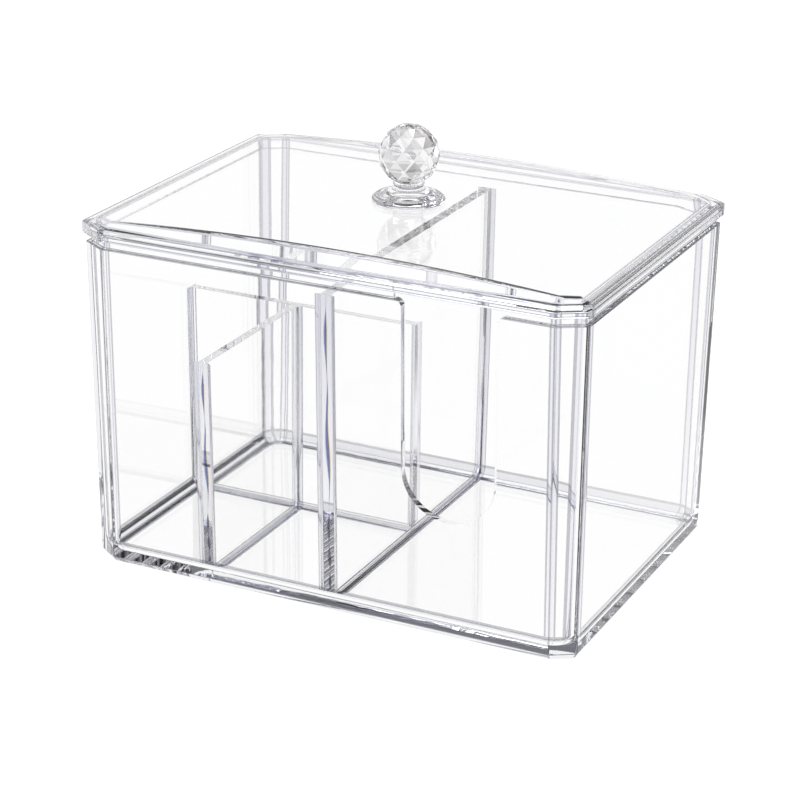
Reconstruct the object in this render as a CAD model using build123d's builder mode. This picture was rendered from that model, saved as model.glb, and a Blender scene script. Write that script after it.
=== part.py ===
"""Clear lidded box for cotton pads: tray with three dividers, lift-off lid and faceted knob.

Millimetres, +Z up. +X is the long side, the front with the finger slot faces -Y.
The origin is at the centre of the underside.
"""
import math
import os

from build123d import *

os.makedirs("parts", exist_ok=True)

# ---- driving sizes -------------------------------------------------------------------------
LENGTH = 145.0            # outside of the lid along X
DEPTH = 105.0             # outside of the lid along Y
HEIGHT = 100.0            # floor to the crown of the lid, without the knob

# ---- lid -----------------------------------------------------------------------------------
SKIRT_H = 3.5             # straight outer edge of the lid
CROWN = 2.7               # rise of the arched top over its own ends
BEVEL_IN = 4.6            # width of the bevel band around the top
BEVEL_UP = 0.8            # rise of the bevel band at the two ends
SKIRT_T = 1.8             # skirt thickness
LID_T = 2.1               # thickness of the arched top
MITRE_X = 8.0             # corner mitre of the lid along X, at the skirt
MITRE_Y = 5.0             # the same along Y
TOP_MITRE = 0.58          # corner mitre of the arched top, as a share of the skirt's
REST_DROP = 1.4           # how far the skirt reaches below the rim's top
LEDGE_W = 0.8             # how far the ledge reaches in past the tray's wall
RECESS_SLOPE = 2.0        # lean of the recess's long sides

# ---- tray ----------------------------------------------------------------------------------
WALL_T = 2.2              # wall thickness
FLOOR_T = 2.5             # floor thickness
SHOULDER_IN = 0.8         # wall face behind the lid's face, at the shoulder
DRAFT_X = 0.8             # how much further in the end walls stand at the base
DRAFT_Y = 2.6             # the same for the front and back walls
BASE_BEVEL_IN = 0.8       # bevel around the underside
BASE_BEVEL_H = 1.4
SHOULDER_DROP = 2.0       # shoulder below the lid's skirt
FLOOR_FILLET = 3.4        # inside round between floor and walls

# ---- dividers ------------------------------------------------------------------------------
MAIN_T = 3.0              # thickness of the tall divider
LOW_T = 2.6               # thickness of the two lower ones
MAIN_X = 1.0              # centre plane of the main divider
CROSS_Y = 4.0             # centre plane of the cross divider
SHORT_X = -35.5           # centre plane of the short divider
MAIN_TOP = 88.5
LOW_TOP = 63.5

# ---- finger slot ---------------------------------------------------------------------------
SLOT_W = 26.0
SLOT_BOTTOM = 32.6
SLOT_ROUND = 2.0          # round where the slot meets the shoulder
RIM_BACK = 2.6            # the rim stops this far from the slot

# ---- knob ----------------------------------------------------------------------------------
FOOT_D = 19.6             # stepped foot on the lid
NECK_D = 8.0
NECK_H = 5.1              # underside of the foot to the underside of the ball
BALL_D = 17.6             # across the corners of the widest ring
BALL_H = 16.4
BALL_SIDES = 8            # corners in every ring of facets
BALL_RINGS = (-60, -34, -6, 22, 52)    # latitudes of the rings, in degrees

# ---- clearances ----------------------------------------------------------------------------
LID_CLEAR = 0.3           # between the tray's rim and the lid's skirt
FOOT_CLEAR = 0.15         # around the knob's foot in its seat
SEAT_SINK = 0.3           # flat seat for the knob, sunk in the crown
CUT = 1.0                 # how far cutters run past the faces they cut

# ---- sizes that follow ---------------------------------------------------------------------
half_l = LENGTH / 2
half_d = DEPTH / 2
ends_z = HEIGHT - CROWN                       # arched top at its two ends
edge_z = ends_z - BEVEL_UP                    # top of the skirt's outer face
skirt_z = edge_z - SKIRT_H                    # bottom of the skirt
rest_z = skirt_z + REST_DROP                  # rim top and the ledge that rests on it
shoulder_z = skirt_z - SHOULDER_DROP
top_l = half_l - BEVEL_IN                     # half length of the arched top
top_d = half_d - BEVEL_IN
rim_in = SKIRT_T + LID_CLEAR                  # rim face behind the lid's outer face
base_x = SHOULDER_IN + DRAFT_X
base_y = SHOULDER_IN + DRAFT_Y
wall_in = SHOULDER_IN + WALL_T                # inner wall face at the shoulder
seat_z = HEIGHT - SEAT_SINK
main_right = MAIN_X + MAIN_T / 2
slot_x = (main_right + half_l - wall_in) / 2  # middle of the right compartment
slot_r = SLOT_W / 2


def mitred(height, in_x, in_y):
    """Outline at a height, set in from the lid's, its mitres as thick as its walls."""
    mitre_length = math.hypot(MITRE_X, MITRE_Y)
    inset = (in_x + in_y) / 2
    share = 1 - inset * (MITRE_X + MITRE_Y - mitre_length) / (MITRE_X * MITRE_Y)
    x, y = half_l - in_x, half_d - in_y
    cut_x, cut_y = MITRE_X * share, MITRE_Y * share
    corners = [(x - cut_x, -y), (x, cut_y - y), (x, y - cut_y), (x - cut_x, y)]
    corners += [(-px, -py) for px, py in corners]
    with BuildSketch(Plane.XY.offset(height)) as outline:
        Polygon(*corners, align=None)
    return outline.sketch


def crown_z(x):
    """Height of the arched top along X."""
    return ends_z + CROWN * (1 - (x / top_l) ** 2)


def arched(low_z, low_half, high_half, drop, reach):
    """Arched block along X: flat underside, crowned top, sloping long sides."""
    sections = []
    for step in range(-4, 5):
        x = reach * step / 4
        high_z = crown_z(x) - drop
        corners = [(-low_half, low_z), (low_half, low_z), (high_half, high_z), (-high_half, high_z)]
        points = [Vector(x, y, z) for y, z in corners]
        sections.append(Wire.make_polygon(points, close=True))
    return Solid.make_loft(sections)


def end_bevels():
    """Block across the whole lid with its two ends bevelled, straight on above the top."""
    above = CROWN / BEVEL_UP * BEVEL_IN
    with BuildPart() as block:
        with BuildSketch(Plane.XZ) as profile:
            with BuildLine():
                Polyline(
                    (-half_l, skirt_z),
                    (half_l, skirt_z),
                    (half_l, edge_z),
                    (top_l, ends_z),
                    (top_l - above, HEIGHT),
                    (top_l - above, HEIGHT + CUT),
                    (above - top_l, HEIGHT + CUT),
                    (above - top_l, HEIGHT),
                    (-top_l, ends_z),
                    (-half_l, edge_z),
                    close=True,
                )
            make_face()
        extrude(amount=DEPTH, both=True)
    return block.part


# ---- tray ----------------------------------------------------------------------------------
with BuildPart() as cavity:
    add(mitred(FLOOR_T, base_x + WALL_T, base_y + WALL_T))
    add(mitred(shoulder_z, wall_in, wall_in))
    loft()
    floor_edges = cavity.faces().sort_by(Axis.Z)[0].edges()
    fillet(floor_edges, radius=FLOOR_FILLET)

with BuildPart() as tray:
    add(mitred(0, base_x + BASE_BEVEL_IN, base_y + BASE_BEVEL_IN))
    add(mitred(BASE_BEVEL_H, base_x, base_y))
    loft()
    add(mitred(BASE_BEVEL_H, base_x, base_y))
    add(mitred(shoulder_z, SHOULDER_IN, SHOULDER_IN))
    loft()
    add(mitred(shoulder_z, rim_in, rim_in))
    extrude(amount=rest_z - shoulder_z)
    add(cavity.part, mode=Mode.SUBTRACT)
    add(mitred(shoulder_z, wall_in, wall_in))
    extrude(amount=rest_z - shoulder_z + CUT, mode=Mode.SUBTRACT)
    # U slot through the front wall, wider through the rim
    with BuildSketch(Plane.XZ.offset(half_d)) as slot:
        with Locations((slot_x, SLOT_BOTTOM + slot_r)):
            Circle(slot_r)
        with Locations((slot_x, (SLOT_BOTTOM + slot_r + rest_z + CUT) / 2)):
            Rectangle(SLOT_W, rest_z + CUT - SLOT_BOTTOM - slot_r)
        with Locations((slot_x, (shoulder_z + rest_z + CUT) / 2)):
            Rectangle(SLOT_W + 2 * RIM_BACK, rest_z + CUT - shoulder_z)
    extrude(amount=-(base_y + 2 * WALL_T + CUT), mode=Mode.SUBTRACT)
    lips = tray.edges().filter_by(Axis.Y).filter_by_position(Axis.Z, shoulder_z - 0.01, shoulder_z + 0.01)
    lips = lips.filter_by_position(Axis.X, slot_x - slot_r - 0.01, slot_x + slot_r + 0.01)
    fillet(lips, radius=SLOT_ROUND)
tray.part.label = "tray"
export_step(tray.part, "parts/tray.step")

# ---- dividers, each filling the box from wall to wall and down to the floor's rounds --------
with BuildPart() as main_divider:
    with BuildSketch(Plane.XY.offset(0)):
        with Locations((MAIN_X, 0)):
            Rectangle(MAIN_T, DEPTH)
    extrude(amount=MAIN_TOP)
    add(cavity.part, mode=Mode.INTERSECT)
main_divider.part.label = "main_divider"
export_step(main_divider.part, "parts/main_divider.step")

cross_right = MAIN_X - MAIN_T / 2
with BuildPart() as cross_divider:
    with BuildSketch(Plane.XY.offset(0)):
        with Locations(((cross_right - half_l) / 2, CROSS_Y)):
            Rectangle(cross_right + half_l, LOW_T)
    extrude(amount=LOW_TOP)
    add(cavity.part, mode=Mode.INTERSECT)
cross_divider.part.label = "cross_divider"
export_step(cross_divider.part, "parts/cross_divider.step")

short_back = CROSS_Y - LOW_T / 2
with BuildPart() as short_divider:
    with BuildSketch(Plane.XY.offset(0)):
        with Locations((SHORT_X, (short_back - half_d) / 2)):
            Rectangle(LOW_T, short_back + half_d)
    extrude(amount=LOW_TOP)
    add(cavity.part, mode=Mode.INTERSECT)
short_divider.part.label = "short_divider"
export_step(short_divider.part, "parts/short_divider.step")

# ---- lid -----------------------------------------------------------------------------------
mitre_l = math.hypot(MITRE_X, MITRE_Y)
corner_low = (MITRE_Y * (half_l - MITRE_X) + MITRE_X * half_d) / mitre_l
corner_high = (MITRE_Y * (top_l - TOP_MITRE * MITRE_X) + MITRE_X * top_d) / mitre_l
facet_slope = BEVEL_UP / (corner_low - corner_high)

with BuildPart() as lid:
    add(mitred(skirt_z, 0, 0))
    extrude(amount=SKIRT_H)
    add(arched(edge_z, half_d, top_d, 0, half_l))
    add(end_bevels(), mode=Mode.INTERSECT)
    # sloping corner facets
    for side_x in (-1, 1):
        for side_y in (-1, 1):
            across = Vector(side_x * MITRE_Y, side_y * MITRE_X, 0).normalized()
            facet = Plane(origin=(0, 0, 0), x_dir=across, z_dir=across.cross(Vector(0, 0, 1)))
            with BuildSketch(facet) as wedge:
                with BuildLine():
                    Polyline(
                        (corner_low, edge_z),
                        (corner_high, ends_z),
                        (corner_high - 4 * MITRE_X, ends_z + 4 * MITRE_X * facet_slope),
                        (corner_high - 4 * MITRE_X, HEIGHT + MITRE_X),
                        (corner_low + MITRE_X, HEIGHT + MITRE_X),
                        (corner_low + MITRE_X, edge_z),
                        close=True,
                    )
                make_face()
            extrude(amount=LENGTH, both=True, mode=Mode.SUBTRACT)
    # room for the tray's rim inside the skirt
    add(mitred(skirt_z, SKIRT_T, SKIRT_T))
    extrude(amount=REST_DROP, mode=Mode.SUBTRACT)
    # arched recess that leaves the ledge around it
    ledge_in = wall_in + LEDGE_W
    recess_d = half_d - ledge_in
    recess = arched(rest_z, recess_d, recess_d - RECESS_SLOPE, LID_T, half_l - ledge_in)
    add(recess, mode=Mode.SUBTRACT)
    # flat seat for the knob
    with BuildSketch(Plane.XY.offset(seat_z)):
        Circle(FOOT_D / 2 + FOOT_CLEAR)
    extrude(amount=SEAT_SINK + CUT, mode=Mode.SUBTRACT)
lid.part.label = "lid"
export_step(lid.part, "parts/lid.step")

# ---- knob ----------------------------------------------------------------------------------
foot_r = FOOT_D / 2
neck_r = NECK_D / 2
ring_step = (foot_r - neck_r) / 3          # width of one step of the foot
neck_top = seat_z + NECK_H

with BuildPart() as knob_foot:
    with BuildSketch(Plane.XZ) as foot_half:
        with BuildLine():
            Polyline(
                (0, seat_z),
                (foot_r, seat_z),
                (foot_r, seat_z + 0.14 * NECK_H),
                (foot_r - 0.25 * ring_step, seat_z + 0.22 * NECK_H),
                (foot_r - 0.95 * ring_step, seat_z + 0.28 * NECK_H),
                (foot_r - 1.05 * ring_step, seat_z + 0.36 * NECK_H),
                (foot_r - 1.75 * ring_step, seat_z + 0.42 * NECK_H),
                (foot_r - 1.90 * ring_step, seat_z + 0.50 * NECK_H),
                (foot_r - 2.55 * ring_step, seat_z + 0.60 * NECK_H),
                (foot_r - 2.85 * ring_step, seat_z + 0.74 * NECK_H),
                (neck_r, seat_z + 0.88 * NECK_H),
                (neck_r, neck_top),
                (0, neck_top),
                close=True,
            )
        make_face()
    revolve(axis=Axis.Z)
knob_foot.part.label = "knob_foot"
export_step(knob_foot.part, "parts/knob_foot.step")

# the ball: rings of corners on an ellipsoid, each ring turned half a step from the last
widest = min(abs(angle) for angle in BALL_RINGS)
ball_r = BALL_D / 2 / math.cos(math.radians(widest))
lowest = math.sin(math.radians(BALL_RINGS[0]))
ball_half_h = BALL_H / (1 - lowest)
ball_z = neck_top - ball_half_h * lowest
rings = []
for index, angle in enumerate(BALL_RINGS):
    ring_r = ball_r * math.cos(math.radians(angle))
    ring_z = ball_z + ball_half_h * math.sin(math.radians(angle))
    ring = []
    for corner in range(BALL_SIDES):
        turn = 2 * math.pi * (corner + index % 2 / 2) / BALL_SIDES
        ring.append(Vector(ring_r * math.cos(turn), ring_r * math.sin(turn), ring_z))
    rings.append(ring)
apex = Vector(0, 0, neck_top + BALL_H)

facets = [Face(Wire.make_polygon(rings[0], close=True))]
for index in range(len(rings) - 1):
    lower = rings[index]
    upper = rings[index + 1]
    for corner in range(BALL_SIDES):
        after = (corner + 1) % BALL_SIDES
        if index % 2 == 0:
            pairs = [(lower[corner], lower[after], upper[corner]), (upper[corner], upper[after], lower[after])]
        else:
            pairs = [(lower[corner], lower[after], upper[after]), (upper[corner], upper[after], lower[corner])]
        for triangle in pairs:
            facets.append(Face(Wire.make_polygon(list(triangle), close=True)))
for corner in range(BALL_SIDES):
    after = (corner + 1) % BALL_SIDES
    top_triangle = [rings[-1][corner], rings[-1][after], apex]
    facets.append(Face(Wire.make_polygon(top_triangle, close=True)))

with BuildPart() as knob_ball:
    add(Solid(Shell(facets)))
knob_ball.part.label = "knob_ball"
export_step(knob_ball.part, "parts/knob_ball.step")
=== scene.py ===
"""Clear lidded box for cotton pads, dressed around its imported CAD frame.

The moulded pieces are closed meshes with their own rounds, each a hair clear of its neighbours,
so that light bends through them as it does through clear plastic. Sizes are in millimetres.
"""
import math

import bmesh
import bpy
from mathutils import Matrix, Vector


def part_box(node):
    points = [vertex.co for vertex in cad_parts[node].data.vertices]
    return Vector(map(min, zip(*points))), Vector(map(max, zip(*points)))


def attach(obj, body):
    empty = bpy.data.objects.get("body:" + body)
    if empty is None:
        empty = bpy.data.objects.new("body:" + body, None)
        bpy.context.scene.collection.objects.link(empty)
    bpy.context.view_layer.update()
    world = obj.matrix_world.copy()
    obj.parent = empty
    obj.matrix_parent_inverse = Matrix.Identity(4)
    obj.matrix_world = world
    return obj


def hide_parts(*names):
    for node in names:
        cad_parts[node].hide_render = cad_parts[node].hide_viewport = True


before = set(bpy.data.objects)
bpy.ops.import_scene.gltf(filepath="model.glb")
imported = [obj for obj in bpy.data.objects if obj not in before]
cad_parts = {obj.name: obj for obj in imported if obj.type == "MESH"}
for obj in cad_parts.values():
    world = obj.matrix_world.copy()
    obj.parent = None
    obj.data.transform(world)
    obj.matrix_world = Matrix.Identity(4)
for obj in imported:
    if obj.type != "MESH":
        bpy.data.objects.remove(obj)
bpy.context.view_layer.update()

scene = bpy.context.scene
BOUNCES = 40              # clear walls behind clear walls need long light paths
scene.cycles.max_bounces = BOUNCES
scene.cycles.glossy_bounces = BOUNCES
scene.cycles.transmission_bounces = BOUNCES
scene.cycles.volume_bounces = 0

# ---- camera --------------------------------------------------------------------------------
SENSOR = 36.0             # sensor width, mm
FRAME_PX = 800.0          # the photograph's frame is square
FOCAL_PX = 2585.08
CENTRE_PX = (405.72, 392.27)
AZIMUTH, ELEVATION, ROLL = 25.581, 21.300, 0.769
OFFSET = Vector((-0.48871, 41.51299, 725.41785)) / 1000     # origin seen from the camera


def place_camera():
    """Camera at the photograph's angle: turned frame, focal length and a small shift."""
    azimuth, elevation, roll = (math.radians(angle) for angle in (AZIMUTH, ELEVATION, ROLL))
    back = Vector((math.sin(azimuth) * math.cos(elevation),
                   -math.cos(azimuth) * math.cos(elevation), math.sin(elevation)))
    level = (-back).cross(Vector((0, 0, 1))).normalized()
    upright = level.cross(-back)
    right = math.cos(roll) * level + math.sin(roll) * upright
    up = math.cos(roll) * upright - math.sin(roll) * level
    turn = Matrix((right, up, back)).transposed()
    place = -(turn @ Vector((OFFSET.x, -OFFSET.y, -OFFSET.z)))
    data = bpy.data.cameras.new("camera")
    data.sensor_width = SENSOR
    data.lens = SENSOR * FOCAL_PX / FRAME_PX
    data.shift_x = (FRAME_PX / 2 - CENTRE_PX[0]) / FRAME_PX
    data.shift_y = (CENTRE_PX[1] - FRAME_PX / 2) / FRAME_PX
    data.clip_start = 0.01
    camera = bpy.data.objects.new("camera", data)
    camera.matrix_world = Matrix.Translation(place) @ turn.to_4x4()
    scene.collection.objects.link(camera)
    scene.camera = camera


place_camera()

# ---- sizes ---------------------------------------------------------------------------------
MM = 0.001
GLUE = 0.04               # film between pieces that are glued or rest on each other

MITRE_X = 8.0             # corner mitre of the lid along X
MITRE_Y = 5.0             # the same along Y
TOP_MITRE = 0.58          # corner mitre of the arched top, as a share of the skirt's
SKIRT_H = 3.5             # straight outer edge of the lid
SKIRT_T = 1.8
CROWN = 2.7               # rise of the arched top over its own ends
BEVEL_IN = 4.6            # width of the bevel band around the top
LID_T = 2.1
LEDGE_W = 0.8             # the lid's ledge reaches in past the tray's wall
RECESS_SLOPE = 2.0        # lean of the recess's long sides
LID_CLEAR = 0.3           # between the tray's rim and the lid's skirt

WALL_T = 2.2
FLOOR_T = 2.5
DRAFT_X = 0.8             # how much further in the end walls stand at the base
DRAFT_Y = 2.6             # the same for the front and back walls
BASE_BEVEL_IN = 0.8
BASE_BEVEL_H = 1.4
SHOULDER_DROP = 2.0       # the tray's shoulder below the lid's skirt
FLOOR_FILLET = 3.4
OUTER_ROUND = 0.8         # upright corners, outside
INNER_ROUND = 4.4         # upright corners, inside; wide for the look of the corner lines
CORNER_POINTS = 11        # points around each of these rounds
WELD_R = 1.3              # round where a divider meets a wall or the floor

SLOT_W = 26.0
SLOT_BOTTOM = 32.6
SLOT_ROUND = 2.0
RIM_BACK = 2.6            # the rim stops this far from the slot

SEAT_CLEAR = 0.15         # around the knob's foot in its seat


def box_mm(node):
    """Lowest and highest corner of a CAD node."""
    low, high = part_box(node)
    return low / MM, high / MM


lid_low, lid_high = box_mm("lid")
_, tray_high = box_mm("tray")
foot_low, foot_high = box_mm("knob_foot")
half_l, half_d = lid_high.x, lid_high.y
skirt_z = lid_low.z
edge_z = skirt_z + SKIRT_H
ends_z = lid_high.z - CROWN
rest_z = tray_high.z
shoulder_z = skirt_z - SHOULDER_DROP
shoulder_in = half_l - tray_high.x
wall_in = shoulder_in + WALL_T
rim_in = SKIRT_T + LID_CLEAR
top_l = half_l - BEVEL_IN

# ---- mesh helpers --------------------------------------------------------------------------
TONES = 5                 # kinds of face: clear, three greys of painted shade, painted refraction streaks
CLEAR, SHADE_BAND, SHADE_SOFT, SHADE_DEEP, PAINTED_REFRACTION = range(TONES)
ARC_EDGE = 0.65           # how far from the middle of an arc its painted shade edge begins
MERGE = 1e-7              # points closer than this are one, m
FLAT_AREA = 60.0          # faces larger than this are flat panels, mm2
SHARP_ANGLE = 32          # edges sharper than this stay sharp, degrees


def arcs(corners, radii, steps=None):
    """Points of a polyline with its corners rounded by true arcs, each with its share of an arc."""
    points = []
    for index, (corner, radius) in enumerate(zip(corners, radii)):
        here = Vector(corner)
        if radius == 0:
            points.append((here, None))
            continue
        before = (Vector(corners[index - 1]) - here).normalized()
        after = (Vector(corners[(index + 1) % len(corners)]) - here).normalized()
        turn = math.pi - before.angle(after)
        reach = radius * math.tan(turn / 2)
        count = steps or 3 + round(3 * radius)
        for step in range(count + 1):
            share = step / count
            weights = ((1 - share) ** 2, 2 * math.cos(turn / 2) * share * (1 - share), share ** 2)
            held = (weights[0] * (here + before * reach) + weights[1] * here
                    + weights[2] * (here + after * reach))
            points.append((held / sum(weights), share))
    return points


def rounded(corners, radii, steps=None):
    return [point for point, _ in arcs(corners, radii, steps)]


def arc_tone(first, second, middle=SHADE_DEEP):
    """Tone of the strip between two points of an outline: rounds get painted shade, dark along both
    edges.
    """
    if first is None or second is None or second <= first:
        return CLEAR
    return SHADE_DEEP if abs(first + second - 1) > ARC_EDGE else middle


def build(name, points, faces, tones=None):
    """Closed mesh object from points in millimetres, its faces turned outwards."""
    mesh = bpy.data.meshes.new(name)
    mesh.from_pydata([Vector(point) * MM for point in points], [], faces)
    for _ in range(TONES):
        mesh.materials.append(None)
    for face, tone in zip(mesh.polygons, tones or []):
        face.material_index = tone
    work = bmesh.new()
    work.from_mesh(mesh)
    bmesh.ops.remove_doubles(work, verts=work.verts, dist=MERGE)
    bmesh.ops.recalc_face_normals(work, faces=work.faces)
    work.to_mesh(mesh)
    work.free()
    piece = bpy.data.objects.new(name, mesh)
    scene.collection.objects.link(piece)
    return piece


def skin(rings, closed=True):
    """Points of all rings in a row and the quads between each ring and the next."""
    count = len(rings[0])
    span = count if closed else count - 1
    faces = []
    for index in range(len(rings) - 1):
        for point in range(span):
            after = (point + 1) % count
            low, high = index * count, (index + 1) * count
            faces.append((low + point, low + after, high + after, high + point))
    return [point for ring in rings for point in ring], faces


def capped(name, rings, tones=None):
    """Closed piece from rings, with a flat face over the first and over the last."""
    points, faces = skin(rings)
    count = len(rings[0])
    faces.append(tuple(range(count)))
    faces.append(tuple(range(len(points) - count, len(points))))
    return build(name, points, faces, tones)


def settle(piece):
    """Puts the result of a piece's modifiers in its mesh."""
    bpy.context.view_layer.update()
    evaluated = piece.evaluated_get(bpy.context.evaluated_depsgraph_get())
    mesh = bpy.data.meshes.new_from_object(evaluated)
    piece.modifiers.clear()
    piece.data = mesh


def shade(piece):
    """Smooth shading over the rounds, while flat faces and sharp edges stay as they are."""
    for face in piece.data.polygons:
        face.use_smooth = face.area < FLAT_AREA * MM ** 2 and len(face.vertices) < 5
    piece.data.set_sharp_from_angle(angle=math.radians(SHARP_ANGLE))
    weigh = piece.modifiers.new("flat_faces", "WEIGHTED_NORMAL")
    weigh.mode = "FACE_AREA"
    weigh.weight = 100
    weigh.keep_sharp = True
    settle(piece)


def soften(piece, width, angle, segments=3, tone=SHADE_DEEP):
    """Rounds every edge sharper than an angle, its new faces in a tone, by default deep painted
    shade.
    """
    bevel = piece.modifiers.new("soft_edges", "BEVEL")
    bevel.width = width * MM
    bevel.segments = segments
    bevel.limit_method = "ANGLE"
    bevel.angle_limit = math.radians(angle)
    bevel.miter_outer = "MITER_ARC"
    bevel.material = tone
    settle(piece)


def cut(piece, cutter):
    """Takes one closed mesh out of another."""
    trim = piece.modifiers.new("cut", "BOOLEAN")
    trim.operation = "DIFFERENCE"
    trim.solver = "EXACT"
    trim.object = cutter
    settle(piece)
    bpy.data.objects.remove(cutter)


def dress(piece, node, body, materials, smooth=True):
    """Gives a piece its finish and the body that it rides on, and hides the node that it stands
    for.
    """
    if smooth:
        shade(piece)
    for index, material in enumerate(materials):
        piece.data.materials[index] = material
    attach(piece, body)
    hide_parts(node)


# ---- materials -----------------------------------------------------------------------------
PLASTIC_TINT = (0.64, 0.64, 0.74)
PLASTIC_DENSITY = 2.5
CRYSTAL_TINT = (0.62, 0.58, 0.62)
CRYSTAL_DENSITY = 6.0
FINE, COARSE = 260.0, 160.0             # scale of the ripple on edges and on panels
EDGE_ROUGH = 0.06
FACET_SCALE = 3.1                       # scale of the noise over the facets' directions
FACET_SHADE_GREY = (0.30, 0.285, 0.29)
FACET_STOPS = (0.43, 0.50)              # noise at which a facet is a painted shade grey and is clear
SWAY, SWAY_SCALE, SWAY_FROM = 0.22, 4.0, 0.46     # how the painted refraction streaks wander across the edge

# The painted refraction streaks up a divider's front edge: height and width, as shares of the
# piece. Both these and the colours across a streak were set to resemble the photographed edges.
PAINTED_REFRACTION_SPOTS = ((0.03, 0.02), (0.06, 0.26), (0.10, 0.02), (0.14, 0.30), (0.19, 0.03),
              (0.24, 0.26), (0.30, 0.01), (0.36, 0.05), (0.50, 0.34), (0.64, 0.16),
              (0.74, 0.04), (0.88, 0.26), (0.97, 0.02))
PAINTED_REFRACTION_COLOURS = ((0.0, (1, 1, 1)), (0.12, (0.50, 0.68, 1.0)), (0.30, (0.03, 0.04, 0.20)),
                (0.70, (0.03, 0.03, 0.04)), (0.86, (1.0, 0.66, 0.36)), (1.0, (1, 1, 1)))


def math_node(nodes, links, operation, first, second):
    """Result of one sum on two values, each a number or another node's output."""
    node = nodes.new("ShaderNodeMath")
    node.operation = operation
    for socket, value in zip(node.inputs, (first, second)):
        if isinstance(value, (int, float)):
            socket.default_value = value
        else:
            links.new(value, socket)
    return node.outputs[0]


def clear_plastic(name, colour, gloss, ripple=0.0, grain=COARSE, rough=0.0, ior=1.56,
                  tint=PLASTIC_TINT, density=PLASTIC_DENSITY):
    """Clear moulded plastic: refracting, its tint gathering in long paths, ripples in mm deep."""
    material = bpy.data.materials.new(name)
    material.use_nodes = True
    nodes, links = material.node_tree.nodes, material.node_tree.links
    shader = nodes["Principled BSDF"]
    shader.inputs["Base Color"].default_value = (*colour, 1)
    shader.inputs["Specular Tint"].default_value = (gloss, gloss, gloss, 1)
    shader.inputs["Transmission Weight"].default_value = 1.0
    shader.inputs["Roughness"].default_value = rough
    shader.inputs["IOR"].default_value = ior
    if ripple:
        place = nodes.new("ShaderNodeTexCoord")
        noise = nodes.new("ShaderNodeTexNoise")
        noise.inputs["Scale"].default_value = grain
        noise.inputs["Detail"].default_value = 1.0
        links.new(place.outputs["Object"], noise.inputs["Vector"])
        bump = nodes.new("ShaderNodeBump")
        bump.inputs["Strength"].default_value = 1.0
        bump.inputs["Distance"].default_value = ripple * MM
        links.new(noise.outputs["Fac"], bump.inputs["Height"])
        links.new(bump.outputs["Normal"], shader.inputs["Normal"])
    absorb = nodes.new("ShaderNodeVolumeAbsorption")
    absorb.inputs["Color"].default_value = (*tint, 1)
    absorb.inputs["Density"].default_value = density
    links.new(absorb.outputs["Volume"], nodes["Material Output"].inputs["Volume"])
    return material


def paint_facet_shade(material):
    """Gives each flat facet its own painted shade grey from the way it faces, for the look of cut
    crystal.
    """
    nodes, links = material.node_tree.nodes, material.node_tree.links
    facing = nodes.new("ShaderNodeNewGeometry")
    noise = nodes.new("ShaderNodeTexNoise")
    noise.inputs["Scale"].default_value = FACET_SCALE
    noise.inputs["Detail"].default_value = 2.0
    links.new(facing.outputs["True Normal"], noise.inputs["Vector"])
    ramp = nodes.new("ShaderNodeValToRGB")
    stops = zip(ramp.color_ramp.elements, FACET_STOPS, (FACET_SHADE_GREY, (1, 1, 1)))
    for stop, position, colour in stops:
        stop.position = position
        stop.color = (*colour, 1)
    links.new(noise.outputs["Fac"], ramp.inputs["Fac"])
    links.new(ramp.outputs["Color"], nodes["Principled BSDF"].inputs["Base Color"])


def paint_refraction_streaks(material):
    """Painted refraction up an edge: dark streaks with a blue and an orange rim, where a prism
    would show them.

    It is colour fixed to the piece, not refraction, so it stays put when the view changes.
    """
    nodes, links = material.node_tree.nodes, material.node_tree.links
    place = nodes.new("ShaderNodeTexCoord")
    split = nodes.new("ShaderNodeSeparateXYZ")
    links.new(place.outputs["Generated"], split.inputs[0])
    wide = nodes.new("ShaderNodeValToRGB")
    wide.color_ramp.interpolation = "EASE"
    bands = wide.color_ramp.elements
    while len(bands) < len(PAINTED_REFRACTION_SPOTS):
        bands.new(0.5)
    for band, (height, width) in zip(bands, PAINTED_REFRACTION_SPOTS):
        band.position = height
        band.color = (width, width, width, 1)
    links.new(split.outputs["Z"], wide.inputs["Fac"])
    sway = nodes.new("ShaderNodeTexNoise")
    sway.noise_dimensions = "1D"
    sway.inputs["Scale"].default_value = SWAY_SCALE
    sway.inputs["Detail"].default_value = 0.0
    links.new(split.outputs["Z"], sway.inputs["W"])
    swayed = math_node(nodes, links, "MULTIPLY", sway.outputs["Fac"], SWAY)
    middle = math_node(nodes, links, "ADD", swayed, SWAY_FROM)
    apart = math_node(nodes, links, "SUBTRACT", split.outputs["X"], middle)
    share = math_node(nodes, links, "DIVIDE", apart, wide.outputs["Color"])
    across = math_node(nodes, links, "ADD", share, 0.5)
    ramp = nodes.new("ShaderNodeValToRGB")
    while len(ramp.color_ramp.elements) < len(PAINTED_REFRACTION_COLOURS):
        ramp.color_ramp.elements.new(0.5)
    for element, (position, colour) in zip(ramp.color_ramp.elements, PAINTED_REFRACTION_COLOURS):
        element.position = position
        element.color = (*colour, 1)
    links.new(across, ramp.inputs["Fac"])
    links.new(ramp.outputs["Color"], nodes["Principled BSDF"].inputs["Base Color"])


# One material for each kind of face: clear, three greys of painted shade, then painted refraction
# streaks.
plastic = [
    clear_plastic("clear_plastic", (1, 1, 1), 0.15, 0.004, COARSE),
    clear_plastic("clear_plastic_painted_shade_band", (0.90, 0.895, 0.95), 0.5, 0.004, COARSE),
    clear_plastic("clear_plastic_painted_shade_soft_edge", (0.70, 0.70, 0.75), 1.0, 0.02, FINE, EDGE_ROUGH),
    clear_plastic("clear_plastic_painted_shade_deep_edge", (0.34, 0.34, 0.37), 1.0, 0.02, FINE, EDGE_ROUGH),
    clear_plastic("clear_plastic_painted_refraction_edge", (1, 1, 1), 1.0, 0.02, FINE),
]
paint_refraction_streaks(plastic[PAINTED_REFRACTION])
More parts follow.
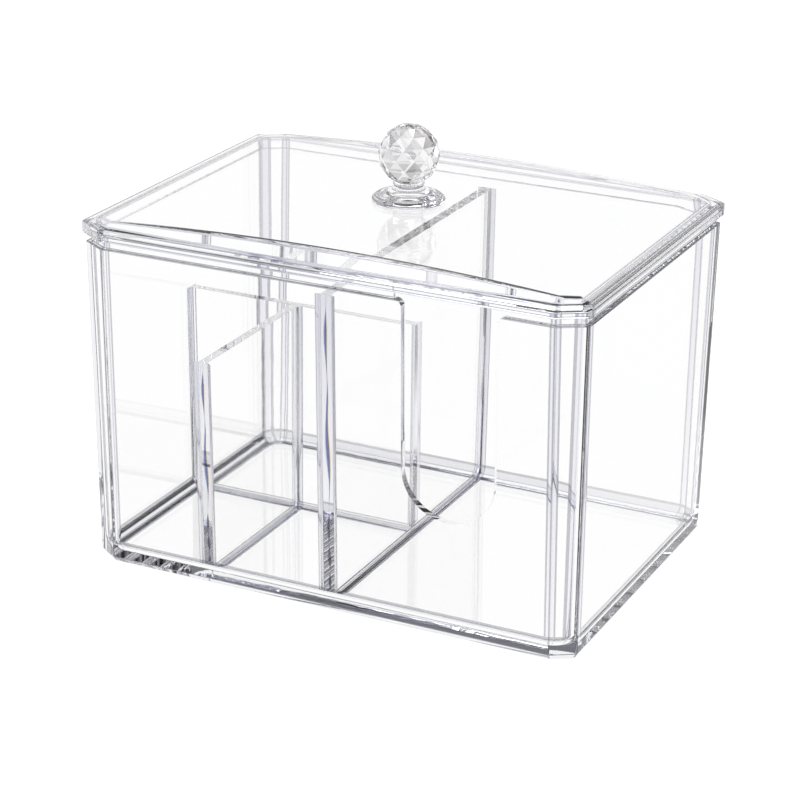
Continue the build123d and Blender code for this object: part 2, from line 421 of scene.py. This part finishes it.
# The ball's crystal, each facet with a painted shade grey.
crystal = [clear_plastic("crystal", (1, 1, 1), 0.5, ior=1.58, tint=CRYSTAL_TINT,
                         density=CRYSTAL_DENSITY)]
paint_facet_shade(crystal[0])

# ---- tray ----------------------------------------------------------------------------------
ROUND_SHARE = 0.9         # most of a mitre's length that the rounds at its ends take up
TOP_IN = 0.4              # where the two profiles join on the rim, out from the wall's inside
CAP_IN = 4.0              # width of the ring around the flat underside
TRAY_SOFT = 0.3           # rounds of the slot's edges
SLOT_ABOVE, SLOT_FRONT, SLOT_BACK = 2.0, 2.0, 6.5       # reach of the slot's cutter


def outline(inset, z, radius):
    """Ring around the box at a height: the lid's outline set in, drafted, mitred and rounded."""
    share = max(0.0, 1 - z / shoulder_z)
    in_x, in_y = inset + DRAFT_X * share, inset + DRAFT_Y * share
    mitre_length = math.hypot(MITRE_X, MITRE_Y)
    kept = 1 - (in_x + in_y) / 2 * (MITRE_X + MITRE_Y - mitre_length) / (MITRE_X * MITRE_Y)
    x, y = half_l - in_x, half_d - in_y
    cut_x, cut_y = MITRE_X * kept, MITRE_Y * kept
    corners = [(cut_x - x, -y, z), (x - cut_x, -y, z), (x, cut_y - y, z), (x, y - cut_y, z),
               (x - cut_x, y, z), (cut_x - x, y, z), (-x, y - cut_y, z), (-x, cut_y - y, z)]
    reach = sum(math.tan(math.atan(slope) / 2) for slope in (MITRE_Y / MITRE_X, MITRE_X / MITRE_Y))
    radius = min(radius, ROUND_SHARE * math.hypot(cut_x, cut_y) / reach)
    return arcs(corners, [radius] * len(corners), steps=CORNER_POINTS - 1)


def make_tray():
    """Open box: outside up to the shoulder and the rim, then down the inside to the floor."""
    top_z = rest_z - GLUE
    outside = arcs([(shoulder_in + CAP_IN, 0), (shoulder_in + BASE_BEVEL_IN, 0),
                    (shoulder_in, BASE_BEVEL_H), (shoulder_in, shoulder_z), (rim_in, shoulder_z),
                    (rim_in, top_z), (wall_in - TOP_IN, top_z)],
                   (0, 0.3, 0.6, 0.4, 0.15, 0.2, 0))
    inside = arcs([(wall_in - TOP_IN, top_z), (wall_in, top_z), (wall_in, FLOOR_T),
                   (wall_in + FLOOR_FILLET + 1, FLOOR_T)], (0, 0.2, FLOOR_FILLET, 0))
    profile = [(place, share, OUTER_ROUND) for place, share in outside]
    profile += [(place, share, INNER_ROUND) for place, share in inside[1:]]
    rings = [outline(place.x, place.y, radius) for place, _, radius in profile]
    # Painted shade on the rounds: deep grey, but softer grey in the middle of the floor fillet and
    # a pale band in the middle of the inner upright corners.
    tones = []
    for (low, low_share, _), (high, high_share, radius) in zip(profile, profile[1:]):
        fillet = radius == INNER_ROUND and low.y < FLOOR_T + FLOOR_FILLET + 0.1
        level = arc_tone(low_share, high_share, SHADE_SOFT if fillet else SHADE_DEEP)
        plan = outline(high.x, high.y, radius)
        for (_, first), (_, second) in zip(plan, plan[1:] + plan[:1]):
            upright = arc_tone(first, second, SHADE_BAND if radius == INNER_ROUND else SHADE_DEEP)
            tones.append(max(level, upright))
    tray = capped("moulded_tray", [[point for point, _ in ring] for ring in rings], tones)
    _, main_high = box_mm("main_divider")
    slot_x = (main_high.x + half_l - wall_in) / 2
    radius = SLOT_W / 2
    above = rest_z + SLOT_ABOVE
    edge = rounded([(slot_x - radius - RIM_BACK, above), (slot_x - radius - RIM_BACK, shoulder_z),
                    (slot_x - radius, shoulder_z), (slot_x - radius, SLOT_BOTTOM),
                    (slot_x + radius, SLOT_BOTTOM), (slot_x + radius, shoulder_z),
                    (slot_x + radius + RIM_BACK, shoulder_z), (slot_x + radius + RIM_BACK, above)],
                   (0, 0, SLOT_ROUND, radius - 0.001, radius - 0.001, SLOT_ROUND, 0, 0))
    front, back = -half_d - SLOT_FRONT, -half_d + SLOT_BACK
    cutter = capped("slot_cutter", [[(x, y, z) for x, z in edge] for y in (front, back)])
    cut(tray, cutter)
    soften(tray, TRAY_SOFT, 50, tone=CLEAR)
    return tray


# ---- dividers ------------------------------------------------------------------------------
PLATE_TURNS = 7           # strips across each concave round
PLATE_SOFT = 0.35         # rounds of the plates' free edges


def plate(name, along_y, middle, thickness, start, stop, top):
    """Upright divider with a concave round where it meets the walls and the floor.

    start and stop are its ends: place at the floor, place at the top, round of the lower corner.
    """
    turns = PLATE_TURNS
    spread = []                                     # inset from the edge, half thickness there
    for turn in range(turns + 1):
        angle = math.pi / 2 * turn / turns
        spread.append((WELD_R * (1 - math.cos(angle)),
                       thickness / 2 + WELD_R * (1 - math.sin(angle))))
    paths = []
    for side, rows in ((1, spread[::-1]), (-1, spread)):
        for inset, across in rows:
            held = inset + GLUE
            corners = [(start[1] + held, top), (start[0] + held, FLOOR_T + held),
                       (stop[0] - held, FLOOR_T + held), (stop[1] - held, top)]
            radii = [0, max(start[2] - inset, 0.02), max(stop[2] - inset, 0.02), 0]
            path = rounded(corners, radii, steps=12)
            place = middle + side * across
            paths.append([(place, u, z) if along_y else (u, place, z) for u, z in path])
    points, faces = skin(paths, closed=False)
    count = len(paths[0])
    # Painted shade on the concave rounds, deep grey along their edges and softer in the middle, and
    # painted refraction streaks up the front edge of plates that run along Y.
    tones = []
    for row in range(len(paths) - 1):
        side = abs(row - turns)                     # 0 is the strip along the very edge
        tone = CLEAR if side == 0 else arc_tone((side - 1) / turns, side / turns, SHADE_SOFT)
        tones += [PAINTED_REFRACTION if side == 0 and along_y else tone] + [tone] * (count - 2)
    faces.append(tuple(range(count)))
    faces.append(tuple(range(len(points) - count, len(points))))
    firsts = [index * count for index in range(len(paths))]
    faces.append(tuple(firsts + [index + count - 1 for index in reversed(firsts)]))
    piece = build(name, points, faces, tones)
    # Its free edges are rounded in the deep grey of painted shade.
    soften(piece, PLATE_SOFT, 40)
    return piece


def make_dividers():
    """The tall divider from front to back, and the two lower ones that stand against it."""
    def wall_y(z):
        return half_d - wall_in - DRAFT_Y * (1 - z / shoulder_z)

    def wall_x(z):
        return half_l - wall_in - DRAFT_X * (1 - z / shoulder_z)

    low, high = box_mm("main_divider")
    main_left, top = low.x, high.z
    ends = ((-wall_y(FLOOR_T), -wall_y(top), FLOOR_FILLET),
            (wall_y(FLOOR_T), wall_y(top), FLOOR_FILLET))
    main = plate("main_panel", True, (low.x + high.x) / 2, high.x - low.x, *ends, top)
    low, high = box_mm("cross_divider")
    cross_front, top = low.y, high.z
    ends = (-wall_x(FLOOR_T), -wall_x(top), FLOOR_FILLET), (main_left, main_left, WELD_R)
    cross = plate("cross_panel", False, (low.y + high.y) / 2, high.y - low.y, *ends, top)
    low, high = box_mm("short_divider")
    top = high.z
    ends = (-wall_y(FLOOR_T), -wall_y(top), FLOOR_FILLET), (cross_front, cross_front, WELD_R)
    short = plate("short_panel", True, (low.x + high.x) / 2, high.x - low.x, *ends, top)
    return main, cross, short


# ---- lid -----------------------------------------------------------------------------------
ARCH_STEPS = 28           # straight pieces that make the arch of the lid
RECESS_LEAN = 0.3         # lean of the recess's short sides
RECESS_MITRES = 0.5, 0.55       # corner mitres of the recess, top and bottom, as shares
SKIRT_MITRE = 0.87        # the same for the inside of the skirt
LID_SOFT = 0.55           # rounds of the lid's edges
SEAT_UP = 2.0             # reach of the seat's cutter
SEAT_SIDES = 96


def arch_z(x, drop=0.0):
    """Height of the arched top at a place along X, or so much under it."""
    return ends_z + CROWN * (1 - (x / top_l) ** 2) - drop


def lid_ring(in_x, in_y, mitre, height):
    """Mitred ring with its long sides in short pieces; height is a number or a rule along X."""
    x, y = half_l - in_x, half_d - in_y
    cut_x, cut_y = MITRE_X * mitre, MITRE_Y * mitre
    reach = x - cut_x
    row = [reach * (2 * step / ARCH_STEPS - 1) for step in range(ARCH_STEPS + 1)]
    plan = [(px, -y) for px in row] + [(x, cut_y - y), (x, y - cut_y)]
    plan += [(px, y) for px in reversed(row)] + [(-x, y - cut_y), (-x, cut_y - y)]
    return [(px, py, height(px) if callable(height) else height) for px, py in plan]


def strip_faces(start):
    """Faces across the arched top or ceiling of a lid ring that starts at an index."""
    last = ARCH_STEPS
    back = start + last + 3
    faces = [(start + step, start + step + 1, back + last - step - 1, back + last - step)
             for step in range(last)]
    faces.append((start + last, start + last + 1, start + last + 2, back))
    faces.append((back + last, back + last + 1, back + last + 2, start))
    return faces


def ceiling_z(x):
    return arch_z(x, LID_T)


def make_lid():
    """Lid from the ceiling of its recess, down over ledge and skirt, and up to the arched top."""
    recess = wall_in + LEDGE_W
    rings = [
        lid_ring(recess + RECESS_LEAN, recess + RECESS_SLOPE, RECESS_MITRES[0], ceiling_z),
        lid_ring(recess, recess, RECESS_MITRES[1], rest_z),
        lid_ring(SKIRT_T, SKIRT_T, SKIRT_MITRE, rest_z),
        lid_ring(SKIRT_T, SKIRT_T, SKIRT_MITRE, skirt_z),
        lid_ring(0, 0, 1, skirt_z),
        lid_ring(0, 0, 1, edge_z),
        lid_ring(BEVEL_IN, BEVEL_IN, TOP_MITRE, arch_z),
    ]
    points, faces = skin(rings)
    faces += strip_faces(0)
    faces += strip_faces(len(points) - len(rings[0]))
    lid = build("moulded_lid", points, faces)
    # The lid's rounded edges take the soft grey of painted shade.
    soften(lid, LID_SOFT, 7, segments=4, tone=SHADE_SOFT)
    seat_z = foot_low.z
    seat_r = (foot_high.x - foot_low.x) / 2 + SEAT_CLEAR
    cutter = lathe("seat_cutter", [(seat_r, seat_z), (seat_r, seat_z + SEAT_UP)], SEAT_SIDES)
    cut(lid, cutter)
    return lid


# ---- knob ----------------------------------------------------------------------------------
FOOT_SIDES = 128
BALL_R = 8.3              # smaller than the CAD ball, to match the photographed one
BALL_SIDES = 10           # corners in every ring of facets
BALL_RINGS = (-64, -43, -21, 1, 23, 45, 67)     # latitudes of the rings, in degrees


def lathe(name, profile, sides, tones=None):
    """Closed turned piece from a profile of radius and height."""
    rings = []
    for radius, z in profile:
        turns = [math.tau * side / sides for side in range(sides)]
        rings.append([(radius * math.cos(turn), radius * math.sin(turn), z) for turn in turns])
    return capped(name, rings, tones)


def make_foot():
    """Stepped round foot with a waist under the ball."""
    low, high = foot_low.z + GLUE, foot_high.z - GLUE
    radius = foot_high.x
    height = high - low
    steps = [(radius - 2, low), (radius, low), (radius, low + 0.16 * height),
             (radius - 1.0, low + 0.30 * height), (radius - 1.5, low + 0.24 * height),
             (radius - 2.1, low + 0.36 * height), (radius - 3.2, low + 0.46 * height),
             (radius - 3.6, low + 0.42 * height), (radius - 4.1, low + 0.52 * height),
             (radius - 5.4, low + 0.64 * height), (radius - 5.9, low + 0.84 * height),
             (radius - 5.5, low + 0.92 * height), (radius - 5.6, high), (radius - 6.5, high)]
    radii = (0, 0.2, 0.5, 0.3, 0.25, 0.35, 0.3, 0.25, 0.3, 0.6, 0.3, 0.15, 0.15, 0)
    profile = arcs(steps, radii, steps=4)
    # Painted shade: every round of the foot is deep grey.
    tones = []
    for (_, first), (_, second) in zip(profile, profile[1:]):
        tones += [arc_tone(first, second)] * FOOT_SIDES
    return lathe("ringed_foot", [place for place, _ in profile], FOOT_SIDES, tones)


def make_ball():
    """Cut ball: rings of corners on a sphere, each ring turned half a step from the last."""
    low, _ = box_mm("knob_ball")
    middle = low.z + GLUE - BALL_R * math.sin(math.radians(BALL_RINGS[0]))
    rings = []
    for index, angle in enumerate(BALL_RINGS):
        across = BALL_R * math.cos(math.radians(angle))
        level = middle + BALL_R * math.sin(math.radians(angle))
        turns = [math.tau * (side + index % 2 / 2) / BALL_SIDES for side in range(BALL_SIDES)]
        rings.append([(across * math.cos(turn), across * math.sin(turn), level) for turn in turns])
    points = [point for ring in rings for point in ring] + [(0, 0, middle + BALL_R)]
    faces = [tuple(range(BALL_SIDES))]
    for index in range(len(rings) - 1):
        low_row, high_row = index * BALL_SIDES, (index + 1) * BALL_SIDES
        for side in range(BALL_SIDES):
            after = (side + 1) % BALL_SIDES
            if index % 2 == 0:
                faces.append((low_row + side, low_row + after, high_row + side))
                faces.append((high_row + side, low_row + after, high_row + after))
            else:
                faces.append((low_row + side, low_row + after, high_row + after))
                faces.append((high_row + side, low_row + side, high_row + after))
    last = (len(rings) - 1) * BALL_SIDES
    faces += [(last + side, last + (side + 1) % BALL_SIDES, len(points) - 1)
              for side in range(BALL_SIDES)]
    return build("faceted_ball", points, faces)


# ---- assembly ------------------------------------------------------------------------------
dress(make_tray(), "tray", "box", plastic)
for piece, node in zip(make_dividers(), ("main_divider", "cross_divider", "short_divider")):
    dress(piece, node, "box", plastic)
dress(make_lid(), "lid", "lid", plastic)
dress(make_foot(), "knob_foot", "lid", plastic)
dress(make_ball(), "knob_ball", "lid", crystal, smooth=False)

# ---- stage ---------------------------------------------------------------------------------
# The stage is white to the camera and to rays that look through the plastic. Rays that it has
# reflected FOLDS times or more meet a grey sector and a grey ceiling, which makes the dark lines.
WHITE = (1, 1, 1)
DARK = (0.19, 0.19, 0.21)
DARK_AZIMUTH, DARK_HALF, DARK_BLUR = 200, 62, 6     # the sector and its soft edge, degrees
FOLDS = 2
CEILING = (0.22, 0.42)    # heights between which the room darkens
FLOOR_RING = (0.10, 0.14)       # distances between which the floor's sector begins, m
FLOOR_REACH = 12.0        # m
FLOOR_DROP = 0.0002       # the floor lies this far under the object, m
FLOOR_WHITE = (0.9, 0.9, 0.9)
SHADOW = 0.2              # strength of the object's shadow on the floor
SHADOW_LEVEL = 0.4        # light on the floor under this shows as shadow, above it as white
AIM = Vector((0, 0, 0.05))      # what the lamps point at, m


def dark_sides(nodes, links, vector):
    """1 where a direction over the ground lies in the dark sector, 0 elsewhere."""
    flat = nodes.new("ShaderNodeVectorMath")
    flat.operation = "MULTIPLY"
    flat.inputs[1].default_value = (1, 1, 0)
    links.new(vector, flat.inputs[0])
    unit = nodes.new("ShaderNodeVectorMath")
    unit.operation = "NORMALIZE"
    links.new(flat.outputs[0], unit.inputs[0])
    dot = nodes.new("ShaderNodeVectorMath")
    dot.operation = "DOT_PRODUCT"
    angle = math.radians(DARK_AZIMUTH)
    dot.inputs[1].default_value = (math.sin(angle), math.cos(angle), 0)
    links.new(unit.outputs[0], dot.inputs[0])
    edge = nodes.new("ShaderNodeMapRange")
    edge.interpolation_type = "SMOOTHSTEP"
    edge.inputs["From Min"].default_value = math.cos(math.radians(DARK_HALF + DARK_BLUR))
    edge.inputs["From Max"].default_value = math.cos(math.radians(DARK_HALF - DARK_BLUR))
    links.new(dot.outputs["Value"], edge.inputs["Value"])
    return edge.outputs[0]


def seen_light(nodes, links, kinds):
    """1 for rays of the named kinds, 0 for all others."""
    path = nodes.new("ShaderNodeLightPath")
    total = 0
    for kind in kinds:
        total = math_node(nodes, links, "MAXIMUM", path.outputs[kind], total)
    return total


def folded_light(nodes, links):
    """1 for rays that have been reflected FOLDS times or more, 0 for those that look through."""
    path = nodes.new("ShaderNodeLightPath")
    return math_node(nodes, links, "GREATER_THAN", path.outputs["Glossy Depth"], FOLDS - 0.5)


def between(nodes, links, share, first, second):
    """The first shader where the share is 0, the second where it is 1."""
    mix = nodes.new("ShaderNodeMixShader")
    links.new(share, mix.inputs[0])
    links.new(first, mix.inputs[1])
    links.new(second, mix.inputs[2])
    return mix.outputs[0]


def emission(nodes, colour, strength=1.0):
    glow = nodes.new("ShaderNodeEmission")
    glow.inputs["Color"].default_value = (*colour, 1)
    glow.inputs["Strength"].default_value = strength
    return glow.outputs[0]


def make_floor():
    """Pale floor: white with the object's shadow to the camera, and lit plainly for the rest."""
    reach = FLOOR_REACH
    corners = [(-reach, -reach, 0), (reach * 3, -reach, 0), (-reach, reach * 3, 0)]
    mesh = bpy.data.meshes.new("floor")
    mesh.from_pydata(corners, [], [(0, 1, 2)])
    floor = bpy.data.objects.new("floor", mesh)
    floor.location.z = -FLOOR_DROP
    scene.collection.objects.link(floor)
    material = bpy.data.materials.new("floor_white")
    material.use_nodes = True
    nodes, links = material.node_tree.nodes, material.node_tree.links
    nodes.remove(nodes["Principled BSDF"])
    diffuse = nodes.new("ShaderNodeBsdfDiffuse")
    diffuse.inputs["Color"].default_value = (*FLOOR_WHITE, 1)
    place = nodes.new("ShaderNodeTexCoord")
    vector = place.outputs["Object"]
    length = nodes.new("ShaderNodeVectorMath")
    length.operation = "LENGTH"
    links.new(vector, length.inputs[0])
    ring = nodes.new("ShaderNodeMapRange")
    ring.inputs["From Min"].default_value = FLOOR_RING[0]
    ring.inputs["From Max"].default_value = FLOOR_RING[1]
    links.new(length.outputs["Value"], ring.inputs["Value"])
    mask = math_node(nodes, links, "MULTIPLY", dark_sides(nodes, links, vector), ring.outputs[0])
    mask = math_node(nodes, links, "MULTIPLY", mask, folded_light(nodes, links))
    through = between(nodes, links, mask, emission(nodes, WHITE), emission(nodes, DARK))
    plastic_rays = seen_light(nodes, links, ("Is Glossy Ray", "Is Transmission Ray"))
    camera_rays = seen_light(nodes, links, ("Is Camera Ray",))
    out = between(nodes, links, plastic_rays, diffuse.outputs[0], through)
    shadowed = nodes.new("ShaderNodeBsdfDiffuse")
    shadowed.inputs["Color"].default_value = (SHADOW, SHADOW, SHADOW, 1)
    both = nodes.new("ShaderNodeAddShader")
    links.new(emission(nodes, WHITE, 1.0 - SHADOW_LEVEL * SHADOW), both.inputs[0])
    links.new(shadowed.outputs[0], both.inputs[1])
    shown = between(nodes, links, camera_rays, out, both.outputs[0])
    links.new(shown, nodes["Material Output"].inputs["Surface"])
    mesh.materials.append(material)


def make_world():
    """White room whose ceiling and one side are grey, but only for rays that have been folded."""
    world = bpy.data.worlds.new("studio")
    scene.world = world
    world.use_nodes = True
    nodes, links = world.node_tree.nodes, world.node_tree.links
    nodes.remove(nodes["Background"])
    place = nodes.new("ShaderNodeTexCoord")
    vector = place.outputs["Generated"]
    split = nodes.new("ShaderNodeSeparateXYZ")
    links.new(vector, split.inputs[0])
    high = nodes.new("ShaderNodeMapRange")
    high.inputs["From Min"].default_value = CEILING[0]
    high.inputs["From Max"].default_value = CEILING[1]
    links.new(split.outputs["Z"], high.inputs["Value"])
    mask = math_node(nodes, links, "MAXIMUM", dark_sides(nodes, links, vector), high.outputs[0])
    mask = math_node(nodes, links, "MULTIPLY", mask, folded_light(nodes, links))
    room = between(nodes, links, mask, emission(nodes, WHITE), emission(nodes, DARK))
    camera_rays = seen_light(nodes, links, ("Is Camera Ray",))
    shown = between(nodes, links, camera_rays, room, emission(nodes, WHITE))
    links.new(shown, nodes["World Output"].inputs["Surface"])


def area_light(name, place, size, watts):
    """Soft lamp at a place, turned to the object."""
    data = bpy.data.lights.new(name, "AREA")
    data.shape = "RECTANGLE"
    data.size, data.size_y = size
    data.energy = watts
    lamp = bpy.data.objects.new(name, data)
    lamp.location = place
    lamp.rotation_euler = (AIM - Vector(place)).to_track_quat("-Z", "Y").to_euler()
    scene.collection.objects.link(lamp)


make_floor()
make_world()
area_light("softbox_top", (0.0, 0.1, 0.9), (0.8, 0.8), 6.0)
area_light("softbox_left", (-0.9, -0.3, 0.5), (0.5, 0.7), 4.0)

scene.view_settings.view_transform = "Standard"
